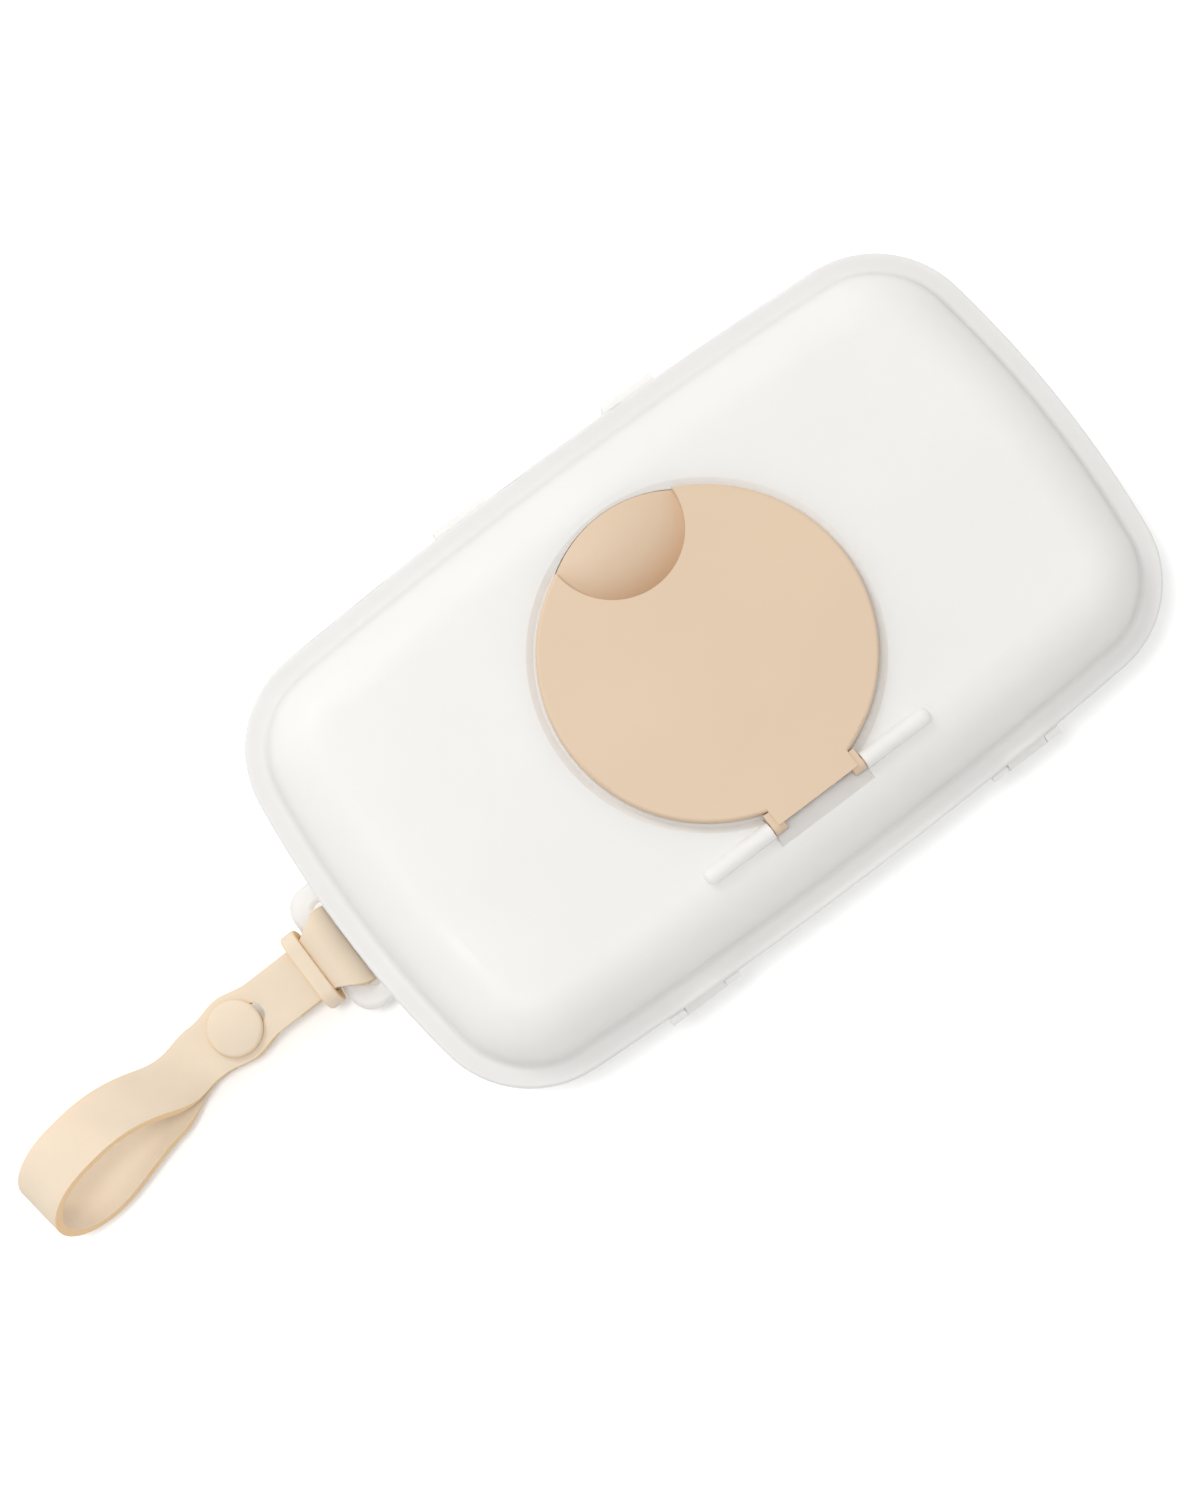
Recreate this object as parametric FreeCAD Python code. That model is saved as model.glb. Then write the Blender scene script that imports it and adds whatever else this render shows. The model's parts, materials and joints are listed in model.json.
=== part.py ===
import FreeCAD, Part
import math
import os

from FreeCAD import Vector

# Travel wipe case. Millimetres, +Z up, origin at the centre of the base's underside.
# +X points to the strap end, +Y to the lid hinge, -Y to the front with the snap tabs.

# Case outline at the rim: bowed sides and ends joined by corner arcs
case_length = 203.0
case_width = 120.0
side_bow_radius = 1180.0
end_bow_radius = 255.0
corner_radius = 26.0

# Base tray
base_height = 26.0
base_wall = 1.6
base_wall_inset = 5.0
base_wall_lean = 5.0
base_foot_radius = 6.0
base_rim_thickness = 2.0
base_rim_setback = 0.4
rim_edge_round = 0.3

# Soft seal in a groove of the base rim
rim_seal_inset = 2.6
rim_seal_width = 1.8
rim_seal_depth = 1.2
seal_side_clearance = 0.1

# Lid
lid_height = 14.0
lid_wall = 1.6
lid_flange_width = 5.0
lid_flange_thickness = 2.0
lid_edge_round = 0.7
lid_crease_radius = 1.5
lid_wall_lean = 4.0
lid_shoulder_radius = 14.0

# Lid hinge: two stations on the +Y side, each with two base ears and one lid barrel
hinge_station_x = 45.5
hinge_station_length = 19.0
hinge_ear_width = 4.0
hinge_overhang = 0.9
hinge_top_gap = 0.6
knuckle_radius = 1.5
hinge_pin_radius = 0.65
pin_seat_clearance = 0.03
pin_running_clearance = 0.06
hinge_side_gap = 0.3
hinge_radial_gap = 0.4

# Snap tabs on the front of the lid
tab_centre_x = 24.0
tab_width = 14.0
tab_thickness = 1.7
tab_drop = 6.0
tab_gap = 0.5
tab_bead_size = 0.7
tab_bead_gap = 0.2

# Flip cap
cap_radius = 38.0
cap_proud = 3.0
cap_plate = 1.8
cap_skirt = 1.6
cap_edge_round = 0.8
cap_seat_gap = 0.3

# Thumb scoop at the front of the cap
scoop_radius = 16.2
scoop_setback = 3.2
scoop_lip_bulge = 1.2
scoop_lip_drop = 2.0
scoop_floor_radius = 24.0
scoop_crown_radius = 80.0
scoop_apex_shift = 1.5
scoop_wall = 1.2
scoop_clearance = 0.8
scoop_lip_clearance = 0.3
scoop_pocket_depth = 3.4

# Cap seat in the lid: a shallow round recess with a sloped flank and a deeper well inside it
seat_margin = 2.2
seat_flank = 1.6
seat_depth = 0.7
well_margin = 3.0
well_floor_gap = 0.3

# Dispensing opening and its collar
opening_end_margin = 12.0
opening_front_margin = 7.5
opening_back_margin = 18.0
collar_wall = 1.6

# Soft seal under the cap
cap_seal_thickness = 2.6
cap_seal_overlap = 0.7

# Cap hinge: tongue with two ears whose stub pins turn in rib bosses of the lid
cap_hinge_overhang = 2.0
cap_hinge_rise = 0.6
tongue_overrun = 0.2
ear_outer_x = 12.5
ear_width = 3.0
ear_radius = 1.7
ear_root = 3.5
stub_pin_radius = 0.9
stub_pin_length = 3.5
stub_end_gap = 0.6
boss_radius = 2.1
boss_length = 18.15
boss_tip_share = 0.9
notch_side_gap = 0.35
notch_back_gap = 4.4
notch_front_gap = 3.0
notch_floor_gap = 2.3

# Strap bracket on the +X end of the base
bracket_ear_width = 5.0
bracket_thickness = 3.2
bracket_height = 10.0
bracket_reach = 7.3
bracket_corner = 5.5
bracket_root_inset = 5.0
bracket_slot_side_gap = 1.2
bracket_slot_start = 1.9
bracket_slot_corner = 1.5
bracket_edge_round = 1.4
bracket_round_share = 0.45
bar_depth = 5.2

# Strap band
band_thickness = 2.0
band_width = 13.5
band_root_width = 20.6
band_button_width = 16.6
band_layer_gap = 0.1
band_bar_gap = 0.35
wrap_straight = 0.5
wrap_blend = 7.5
wrap_blend_radius = 10.0
taper_margin = 0.75
tail_end = 14.5
free_tip_gap = 2.0
free_tip_flat = 2.0
button_reach = 27.6
button_flare = 8.0
band_turn_radius = 9.0
loop_lead = 1.5

# Hand loop: a teardrop that rolls over to the front side and turns to the hinge side
loop_end_reach = 91.7
loop_height = 26.0
loop_roll = 20.0
loop_roll_run = 15.0
loop_turn = 9.7
loop_turn_run = 36.0
loop_floor_gap = 0.4
loop_rise_start = 11.0
loop_rise_end = 17.0
loop_fall_start = 22.0
loop_fall_end = 5.0
loop_side_steps = 12
loop_end_steps = 10

# Snap button
button_radius = 6.6
button_height = 2.6
button_edge_round = 0.9
button_crown_radius = 22.0
button_round_share = 0.85
post_radius = 2.4
hole_clearance = 0.35
hole_showing = 1.2
backing_radius = 5.6
backing_thickness = 1.5
backing_round = 0.5
post_clearance = 0.05
backing_floor_gap = 1.78

# Keeper ring
keeper_centre = 5.6
keeper_length = 3.8
keeper_wall = 2.8
keeper_side_gap = 0.4
keeper_face_gap = 0.3
keeper_skin = 1.2
keeper_edge_round = 1.1
keeper_inner_round = 0.5

# Modelling margins
overshoot = 1.0
corner_share = 0.98
tiny = 1e-6

# Derived levels and places
half_length = case_length / 2
half_width = case_width / 2
rim_under = base_height - base_rim_thickness
flange_top = base_height + lid_flange_thickness
lid_top = base_height + lid_height
lid_under = lid_top - lid_wall
hinge_y = half_width - hinge_overhang
hinge_z = base_height - hinge_top_gap - knuckle_radius
cap_top = lid_top + cap_proud
cap_under = cap_top - cap_plate
seat_radius = cap_radius + seat_margin
seat_z = lid_top - seat_depth
skirt_z = seat_z + cap_seat_gap
well_radius = cap_radius - well_margin
collar_top = cap_under - cap_seal_thickness
cap_hinge_reach = cap_radius + cap_hinge_overhang
cap_hinge_z = lid_top + cap_hinge_rise
boss_end_x = ear_outer_x + notch_side_gap + boss_length
scoop_offset = cap_radius - scoop_setback
scoop_tube_z = cap_top - scoop_lip_drop - scoop_floor_radius
scoop_under_radius = scoop_floor_radius - scoop_wall
scoop_under_reach = scoop_radius + scoop_wall + scoop_apex_shift
scoop_bottom = scoop_tube_z + math.sqrt(scoop_under_radius ** 2 - scoop_under_reach ** 2)
well_z = scoop_bottom - well_floor_gap
pocket_z = lid_top - scoop_pocket_depth
opening_front = scoop_radius - scoop_offset + opening_front_margin
opening_back = well_radius - opening_back_margin
opening_length = 2 * (well_radius - opening_end_margin)
opening_width = opening_back - opening_front
opening_offset = (opening_front + opening_back) / 2
bracket_slot_width = band_root_width + 2 * bracket_slot_side_gap
bracket_width = bracket_slot_width + 2 * bracket_ear_width
bar_round = min(bracket_edge_round, bracket_round_share * min(bracket_thickness, bar_depth))
bar_x = half_length + bracket_reach - bar_depth / 2
bar_radius = math.hypot(bar_depth, bracket_thickness) / 2 - bar_round * (math.sqrt(2) - 1)
far = 4 * case_length

# The strap in its own side view: distances along it from the bar, heights from its middle plane
layer_inner = band_layer_gap / 2
layer_outer = layer_inner + band_thickness
wrap_inner = bar_radius + band_bar_gap
wrap_outer = wrap_inner + band_thickness
wrap_slope = (wrap_outer - layer_outer) / (wrap_blend - wrap_straight)
keeper_start = keeper_centre - keeper_length / 2
keeper_half_gap = layer_outer + wrap_slope * (wrap_blend - keeper_start) + keeper_face_gap
taper_end = keeper_start - taper_margin
free_tip = tail_end + free_tip_gap
loop_start = button_reach + button_flare + loop_lead
hole_radius = post_radius + hole_clearance
hole_near = button_reach - button_radius - hole_showing + hole_radius

# The strap droops until the far edge of the button's backing is just above the ground
backing_far = button_reach + backing_radius
backing_low = layer_outer + backing_thickness
strap_fall = (bracket_height - backing_floor_gap) / math.hypot(backing_far, backing_low)
strap_droop = math.asin(strap_fall) - math.atan2(backing_low, backing_far)


def corner_centre():
    """Centre of the corner arc that touches the side bow and the end bow, in the first quadrant."""
    side_y = half_width - side_bow_radius
    end_x = half_length - end_bow_radius
    to_side = side_bow_radius - corner_radius
    to_end = end_bow_radius - corner_radius
    span = math.hypot(end_x, side_y)
    along = (to_side ** 2 - to_end ** 2 + span ** 2) / (2 * span)
    across = math.sqrt(to_side ** 2 - along ** 2)
    unit_x = end_x / span
    unit_y = -side_y / span
    return unit_x * along + unit_y * across, side_y + unit_y * along - unit_x * across


def outline_arcs():
    """The eight arcs of the rim outline as (centre x, centre y, radius, start angle, end angle)."""
    corner_x, corner_y = corner_centre()
    side_y = half_width - side_bow_radius
    end_x = half_length - end_bow_radius
    low = math.atan2(corner_y, corner_x - end_x)
    high = math.atan2(corner_y - side_y, corner_x)
    turn = math.pi
    return [
        (end_x, 0, end_bow_radius, -low, low),
        (corner_x, corner_y, corner_radius, low, high),
        (0, side_y, side_bow_radius, high, turn - high),
        (-corner_x, corner_y, corner_radius, turn - high, turn - low),
        (-end_x, 0, end_bow_radius, turn - low, turn + low),
        (-corner_x, -corner_y, corner_radius, turn + low, turn + high),
        (0, -side_y, side_bow_radius, turn + high, 2 * turn - high),
        (corner_x, -corner_y, corner_radius, 2 * turn - high, 2 * turn - low),
    ]


def outline_prism(inset, low_z, high_z):
    """Solid under the rim outline moved in by inset."""
    edges = []
    for centre_x, centre_y, radius, start, end in outline_arcs():
        reach = radius - inset
        points = []
        for angle in (start, (start + end) / 2, end):
            point_x = centre_x + reach * math.cos(angle)
            point_y = centre_y + reach * math.sin(angle)
            points.append(Vector(point_x, point_y, low_z))
        edges.append(Part.Arc(*points).toShape())
    face = Part.Face(Part.Wire(Part.__sortEdges__(edges)))
    return face.extrude(Vector(0, 0, high_z - low_z))


def rounded_edges(corners, place):
    """Edges of a closed polygon of (u, v, radius) corners, each rounded as far as its sides allow."""
    count = len(corners)
    flat = [Vector(u, v, 0) for u, v, radius in corners]
    tangents = []
    for index, (u, v, radius) in enumerate(corners):
        back = (flat[index - 1] - flat[index]).normalize()
        ahead = (flat[(index + 1) % count] - flat[index]).normalize()
        half = back.getAngle(ahead) / 2
        tangents.append((radius / math.tan(half), half, back, ahead))
    limits = []
    for index in range(count):
        share = 1.0
        for side in (index - 1, index):
            length = (flat[(side + 1) % count] - flat[side]).Length
            wanted = tangents[side][0] + tangents[(side + 1) % count][0]
            if wanted > corner_share * length:
                share = min(share, corner_share * length / wanted)
        limits.append(share)
    ends = []
    edges = []
    for index in range(count):
        run, half, back, ahead = tangents[index]
        run = run * limits[index]
        here = flat[index]
        if run < tiny:
            ends.append((here, here))
            continue
        radius = run * math.tan(half)
        inward = (back + ahead).normalize()
        middle = here + inward * (radius / math.sin(half) - radius)
        first = here + back * run
        last = here + ahead * run
        arc_points = [place(point.x, point.y) for point in (first, middle, last)]
        edges.append(Part.Arc(*arc_points).toShape())
        ends.append((first, last))
    for index in range(count):
        leave = place(ends[index][1].x, ends[index][1].y)
        arrive = place(ends[(index + 1) % count][0].x, ends[(index + 1) % count][0].y)
        edges.append(Part.LineSegment(leave, arrive).toShape())
    return edges


def rounded_face(corners, place):
    return Part.Face(Part.Wire(Part.__sortEdges__(rounded_edges(corners, place))))


def revolved_band(corners):
    """Solid that follows the whole rim outline with a section of (inset, height, radius) corners."""
    sectors = []
    for centre_x, centre_y, radius, start, end in outline_arcs():
        def place(inset, height):
            reach = radius - inset
            return Vector(centre_x + reach * math.cos(start), centre_y + reach * math.sin(start), height)

        section = rounded_face(corners, place)
        centre = Vector(centre_x, centre_y, 0)
        sectors.append(section.revolve(centre, Vector(0, 0, 1), math.degrees(end - start)))
    return sectors[0].multiFuse(sectors[1:]).removeSplitter()


def filled_band(wall_corners, core_inset, low_z, high_z):
    """Solid whose side follows wall_corners, closed by a core inside core_inset."""
    corners = [(core_inset, low_z, 0)] + wall_corners + [(core_inset, high_z, 0)]
    return revolved_band(corners).fuse(outline_prism(core_inset, low_z, high_z)).removeSplitter()


def box(low, high):
    return Part.makeBox(high[0] - low[0], high[1] - low[1], high[2] - low[2], Vector(*low))


def disc(radius, low_z, high_z, y=0.0):
    return Part.makeCylinder(radius, high_z - low_z, Vector(0, y, low_z))


def rod_x(radius, low_x, high_x, y, z):
    return Part.makeCylinder(radius, high_x - low_x, Vector(low_x, y, z), Vector(1, 0, 0))


def stadium(length, width, low_z, high_z, y):
    """Upright slot-shaped solid along X."""
    radius = width / 2
    reach = length / 2 - radius
    body = box((-reach, y - radius, low_z), (reach, y + radius, high_z))
    ends = [Part.makeCylinder(radius, high_z - low_z, Vector(side * reach, y, low_z)) for side in (-1, 1)]
    return body.multiFuse(ends).removeSplitter()


def mirrored(shape):
    """The shape and its mirror image across the YZ plane."""
    return [shape, shape.mirror(Vector(0, 0, 0), Vector(1, 0, 0))]


def side_y(x, inset):
    """Y of the +Y side of the outline moved in by inset."""
    radius = side_bow_radius - inset
    return half_width - side_bow_radius + math.sqrt(radius ** 2 - x ** 2)


def hinge_spans():
    """X ranges of the inner ear, the lid barrel and the outer ear of the hinge station at +X."""
    low = hinge_station_x - hinge_station_length / 2
    high = hinge_station_x + hinge_station_length / 2
    inner = (low, low + hinge_ear_width)
    outer = (high - hinge_ear_width, high)
    barrel = (inner[1] + hinge_side_gap, outer[0] - hinge_side_gap)
    return inner, barrel, outer


def make_base_shell():
    slope = base_wall_lean / rim_under
    shift = base_wall * math.hypot(1, slope)
    foot_inset = base_wall_inset + base_wall_lean
    core = foot_inset + base_foot_radius + overshoot
    outside = filled_band(
        [
            (foot_inset, 0, base_foot_radius),
            (base_wall_inset, rim_under, 0),
            (base_rim_setback, rim_under, rim_edge_round),
            (base_rim_setback, base_height, rim_edge_round),
        ],
        core, 0, base_height,
    )
    mouth = base_height + overshoot
    cavity = filled_band(
        [
            (foot_inset - slope * base_wall + shift, base_wall, base_foot_radius - base_wall),
            (foot_inset - slope * mouth + shift, mouth, 0),
        ],
        core, base_wall, mouth,
    )
    inner, barrel, outer = hinge_spans()
    behind = hinge_y - hinge_radial_gap
    outside = outside.cut(box((-far, behind, rim_under - overshoot), (far, far, mouth)))
    barrel_room = box(
        (barrel[0] - hinge_side_gap, hinge_y - knuckle_radius - hinge_radial_gap, rim_under - overshoot),
        (barrel[1] + hinge_side_gap, far, mouth),
    )
    outside = outside.cut(mirrored(barrel_room))
    ears = []
    for low_x, high_x in (inner, outer):
        root_y = side_y(high_x, base_wall_inset + base_wall)
        web = box((low_x, root_y, hinge_z - knuckle_radius), (high_x, hinge_y, rim_under + rim_edge_round))
        ears += mirrored(web.fuse(rod_x(knuckle_radius, low_x, high_x, hinge_y, hinge_z)))
    pad_low = bracket_height - bracket_thickness / 2
    pad = box(
        (half_length - core, -bracket_width / 2, pad_low),
        (half_length - bracket_root_inset, bracket_width / 2, pad_low + bracket_thickness),
    )
    shell = outside.multiFuse(ears + [pad]).cut(cavity)
    groove = revolved_band(
        [
            (rim_seal_inset, base_height - rim_seal_depth, 0),
            (rim_seal_inset, mouth, 0),
            (rim_seal_inset + rim_seal_width, mouth, 0),
            (rim_seal_inset + rim_seal_width, base_height - rim_seal_depth, 0),
        ]
    )
    bore = hinge_pin_radius + pin_seat_clearance
    bores = mirrored(rod_x(bore, inner[0] - overshoot, outer[1] + overshoot, hinge_y, hinge_z))
    return shell.cut([groove] + bores).removeSplitter()


def make_rim_seal():
    low = rim_seal_inset + seal_side_clearance
    high = rim_seal_inset + rim_seal_width - seal_side_clearance
    floor = base_height - rim_seal_depth
    return revolved_band([(low, floor, 0), (low, base_height, 0), (high, base_height, 0), (high, floor, 0)])


def make_hinge_pin(side):
    inner, barrel, outer = hinge_spans()
    inset = hinge_side_gap / 2
    pin = rod_x(hinge_pin_radius, inner[0] + inset, outer[1] - inset, hinge_y, hinge_z)
    rims = [edge for edge in pin.Edges if edge.BoundBox.XLength < tiny]
    pin = pin.makeChamfer(hinge_pin_radius / 4, rims)
    return mirrored(pin)[0 if side > 0 else 1]


def lid_solids():
    """The lid's outer form and the hollow under it."""
    slope = lid_wall_lean / (lid_top - flange_top)
    shift = lid_wall * math.hypot(1, slope)
    turn = math.pi / 2 - math.atan(slope)
    core = lid_flange_width + lid_wall_lean + lid_shoulder_radius * math.tan(turn / 2) + overshoot
    outside = filled_band(
        [
            (0, base_height, rim_edge_round),
            (0, flange_top, lid_edge_round),
            (lid_flange_width, flange_top, lid_crease_radius),
            (lid_flange_width + lid_wall_lean, lid_top, lid_shoulder_radius),
        ],
        core, base_height, lid_top,
    )
    mouth = base_height - overshoot
    inner_foot = lid_flange_width + shift
    hollow = filled_band(
        [
            (inner_foot + slope * (mouth - flange_top), mouth, 0),
            (inner_foot + slope * (lid_under - flange_top), lid_under, lid_shoulder_radius - lid_wall),
        ],
        core, mouth, lid_under,
    )
    return outside, hollow


def scoop_prism(margin, low_z, high_z):
    """Upright cylinder of the scoop's plan, widened by margin, with its seam in front of the cap."""
    prism = disc(scoop_radius + margin, low_z, high_z, -scoop_offset)
    prism.rotate(Vector(0, -scoop_offset, 0), Vector(0, 0, 1), -90)
    return prism


def make_lid_shell():
    outside, hollow = lid_solids()
    shell = outside.cut(hollow)
    notch_x = ear_outer_x + notch_side_gap
    notch_z = cap_hinge_z - notch_floor_gap
    notch_low = cap_hinge_reach - notch_front_gap
    notch_high = cap_hinge_reach + notch_back_gap
    scoop_margin = scoop_wall + scoop_clearance
    seat_outside = disc(seat_radius + lid_wall, 0, lid_top)
    supports = [
        disc(seat_radius + lid_wall, seat_z - lid_wall, lid_top),
        disc(well_radius + lid_wall, well_z - lid_wall, seat_z),
        scoop_prism(scoop_margin + lid_wall, pocket_z - lid_wall, seat_z).common(seat_outside),
        box(
            (-notch_x - lid_wall, 0, notch_z - lid_wall),
            (notch_x + lid_wall, notch_high + lid_wall, lid_under),
        ),
    ]
    body = disc(seat_radius + notch_back_gap + lid_wall, 0, lid_top)
    shell = shell.multiFuse([support.common(outside).common(body) for support in supports])
    boss = rod_x(boss_radius, notch_x, boss_end_x, cap_hinge_reach, cap_hinge_z)
    boss_tip = [edge for edge in boss.Edges if edge.BoundBox.XMin > boss_end_x - tiny]
    boss = boss.makeFillet(boss_radius * boss_tip_share, boss_tip)
    rib_half = boss_radius * boss_tip_share
    rib = box(
        (notch_x, cap_hinge_reach - rib_half, flange_top),
        (boss_end_x - boss_radius, cap_hinge_reach + rib_half, cap_hinge_z),
    )
    shell = shell.multiFuse(mirrored(boss.fuse(rib.cut(hollow))))
    above = cap_top + overshoot
    hole_end = ear_outer_x + stub_pin_length + stub_end_gap
    stub_hole = rod_x(
        stub_pin_radius + pin_running_clearance, ear_outer_x, hole_end, cap_hinge_reach, cap_hinge_z
    )
    hollows = [
        Part.makeCone(seat_radius - seat_flank, seat_radius, seat_depth, Vector(0, 0, seat_z)),
        disc(seat_radius, lid_top, above),
        disc(well_radius, well_z, above),
        scoop_prism(scoop_margin, pocket_z, above).common(lip_cylinder(0, above, -scoop_lip_clearance)),
        box((-notch_x, notch_low, notch_z), (notch_x, notch_high, above)),
    ]
    shell = shell.cut(hollows + mirrored(stub_hole))
    floor_z = well_z - lid_wall
    grow = 2 * collar_wall
    collar = stadium(opening_length + grow, opening_width + grow, floor_z, collar_top, opening_offset)
    opening = stadium(opening_length, opening_width, floor_z - overshoot, above, opening_offset)
    shell = shell.fuse(collar).cut(opening)
    shell = shell.multiFuse(hinge_barrels() + snap_tabs())
    inner, barrel, outer = hinge_spans()
    bores = mirrored(
        rod_x(hinge_pin_radius + pin_running_clearance, inner[0], outer[1], hinge_y, hinge_z)
    )
    return shell.cut(bores).removeSplitter()


def hinge_barrels():
    """Barrels under the lid flange with the arms that carry them."""
    inner, barrel, outer = hinge_spans()
    arm_in = hinge_y - knuckle_radius + hinge_radial_gap / 2
    arm_top = base_height + lid_flange_thickness / 2
    rim_y = side_y(barrel[1], 0)

    def place(y, z):
        return Vector(barrel[0], y, z)

    arm = rounded_face(
        [
            (arm_in, hinge_z, 0),
            (arm_in, arm_top, 0),
            (rim_y, arm_top, 0),
            (hinge_y + knuckle_radius, hinge_z + knuckle_radius / 2, knuckle_radius / 2),
            (hinge_y + knuckle_radius, hinge_z, 0),
        ],
        place,
    ).extrude(Vector(barrel[1] - barrel[0], 0, 0))
    return mirrored(arm.fuse(rod_x(knuckle_radius, barrel[0], barrel[1], hinge_y, hinge_z)))


def snap_tabs():
    """Front tabs that hang from the lid flange outside the base rim, with a small bead each."""
    inner_y = -(side_y(tab_centre_x - tab_width / 2, base_rim_setback) + tab_gap)
    outer_y = inner_y - tab_thickness
    root_y = inner_y + lid_flange_width / 2
    low_z = base_height - tab_drop
    bead_z = rim_under - tab_bead_gap
    bead_y = inner_y + tab_gap - tab_bead_gap
    low_x = tab_centre_x - tab_width / 2

    def place(y, z):
        return Vector(low_x, y, z)

    tab = rounded_face(
        [
            (root_y, base_height, 0),
            (root_y, flange_top - lid_edge_round, 0),
            (outer_y, flange_top - lid_edge_round, lid_edge_round),
            (outer_y, low_z, lid_edge_round),
            (inner_y, low_z, rim_edge_round),
            (inner_y, bead_z - 2 * tab_bead_size, 0),
            (bead_y, bead_z - tab_bead_size, 0),
            (inner_y, bead_z, 0),
            (inner_y, base_height, 0),
        ],
        place,
    ).extrude(Vector(tab_width, 0, 0))
    return mirrored(tab)


def lip_cylinder(low_z, high_z, inset=0.0):
    """Upright cylinder whose front arc is the scoop's bulged lip."""
    chord = scoop_radius + scoop_wall / 2
    rise = cap_radius - math.sqrt(cap_radius ** 2 - chord ** 2) + scoop_lip_bulge
    radius = (chord ** 2 + rise ** 2) / (2 * rise)
    return disc(radius - inset, low_z, high_z, radius - cap_radius - scoop_lip_bulge)


def scoop_crown(tube_radius):
    """Ring whose top is the scoop's domed floor: tight from front to back, flat from side to side."""
    ring_radius = scoop_crown_radius - scoop_floor_radius
    centre = Vector(0, -scoop_offset - scoop_apex_shift, scoop_tube_z - ring_radius)
    axis = Vector(0, 1, 0)
    return Part.makeTorus(ring_radius, tube_radius, centre, axis, -180, 180)


def make_flip_cap():
    plate = disc(cap_radius, skirt_z, cap_top)
    rim = [edge for edge in plate.Edges if edge.isClosed() and edge.BoundBox.ZMin > cap_under]
    plate = plate.makeFillet(cap_edge_round, rim)
    plate = plate.cut(disc(cap_radius - cap_skirt, skirt_z - overshoot, cap_under))
    tongue_end = cap_hinge_reach + tongue_overrun
    tongue_x = ear_outer_x - ear_width / 2
    tongue = box((-tongue_x, 0, cap_under), (tongue_x, tongue_end, cap_top))
    cap = plate.fuse(tongue)
    ear_low = cap_hinge_reach - ear_root
    ear = rod_x(ear_radius, ear_outer_x - ear_width, ear_outer_x, cap_hinge_reach, cap_hinge_z)
    ear_block = box(
        (ear_outer_x - ear_width, ear_low, skirt_z),
        (ear_outer_x, cap_hinge_reach, cap_hinge_z + ear_radius),
    )
    stub_end = ear_outer_x + stub_pin_length
    stub = rod_x(stub_pin_radius, tongue_x, stub_end, cap_hinge_reach, cap_hinge_z)
    cap = cap.multiFuse(mirrored(ear.multiFuse([ear_block, stub])))
    floor_crown = scoop_crown(scoop_floor_radius)
    under_crown = scoop_crown(scoop_under_radius)
    low = well_z
    block = scoop_prism(scoop_wall, low, cap_under + cap_plate / 2).common(lip_cylinder(low, cap_top))
    lip_room = lip_cylinder(skirt_z - overshoot, cap_top + overshoot, cap_skirt)
    lip_skirt = lip_cylinder(skirt_z, cap_top).cut(lip_room)
    lip_skirt = lip_skirt.common(scoop_prism(scoop_wall, skirt_z, cap_top)).common(floor_crown)
    cap = cap.multiFuse([block.cut(under_crown), lip_skirt])
    pocket = scoop_prism(0, low - overshoot, cap_top + overshoot).cut(floor_crown)
    return cap.cut(pocket).removeSplitter()


def make_cap_seal():
    inner_l = opening_length - 2 * cap_seal_overlap
    inner_w = opening_width - 2 * cap_seal_overlap
    grow = 2 * (collar_wall + 2 * cap_seal_overlap)
    ring = stadium(inner_l + grow, inner_w + grow, collar_top, cap_under, opening_offset)
    room = stadium(inner_l, inner_w, collar_top - overshoot, cap_under + overshoot, opening_offset)
    return ring.cut(room)


def make_strap_bracket():
    root_x = half_length - bracket_root_inset
    end_x = half_length + bracket_reach
    half = bracket_width / 2
    low = bracket_height - bracket_thickness / 2
    slot_half = bracket_slot_width / 2
    slot_low = root_x + bracket_slot_start
    slot_high = end_x - bar_depth

    def place(x, y):
        return Vector(x, y, low)

    plan = [
        (root_x, -half, 0), (end_x, -half, bracket_corner), (end_x, half, bracket_corner), (root_x, half, 0)
    ]
    hole = [
        (slot_low, -slot_half, bracket_slot_corner), (slot_high, -slot_half, bracket_slot_corner),
        (slot_high, slot_half, bracket_slot_corner), (slot_low, slot_half, bracket_slot_corner),
    ]
    up = Vector(0, 0, bracket_thickness)
    body = rounded_face(plan, place).extrude(up).cut(rounded_face(hole, place).extrude(up))
    rounded = []
    for edge in body.Edges:
        middle = edge.CenterOfMass
        flat = edge.BoundBox.ZLength < tiny
        if flat and middle.x > root_x + tiny:
            rounded.append(edge)
    return body.makeFillet(bar_round, rounded)


def strap_place(shape):
    """Moves a shape from the strap's own frame, with the bar as origin, to the case."""
    turned = shape.copy()
    turned.rotate(Vector(0, 0, 0), Vector(0, 1, 0), math.degrees(strap_droop))
    turned.translate(Vector(bar_x, 0, bracket_height))
    return turned


def strap_point(reach, rise):
    """Point of the strap's own side view, in the case frame."""
    return Vector(
        bar_x + reach * math.cos(strap_droop) + rise * math.sin(strap_droop),
        0,
        bracket_height - reach * math.sin(strap_droop) + rise * math.cos(strap_droop),
    )


def strap_plan():
    """Plan of the straight part of the band: wide at the bar, narrow at the keeper, flared at the button."""
    narrow = band_width / 2
    wide = band_root_width / 2
    flare = band_button_width / 2
    half = [
        (-wrap_outer - overshoot, wide, 0),
        (-wrap_inner, wide, band_turn_radius),
        (taper_end, narrow, band_turn_radius),
        (button_reach - button_flare, narrow, band_turn_radius),
        (button_reach, flare, 2 * band_turn_radius),
        (button_reach + button_flare, narrow, band_turn_radius),
        (loop_start + overshoot, narrow, 0),
    ]
    return half + [(reach, -y, radius) for reach, y, radius in reversed(half)]


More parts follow.
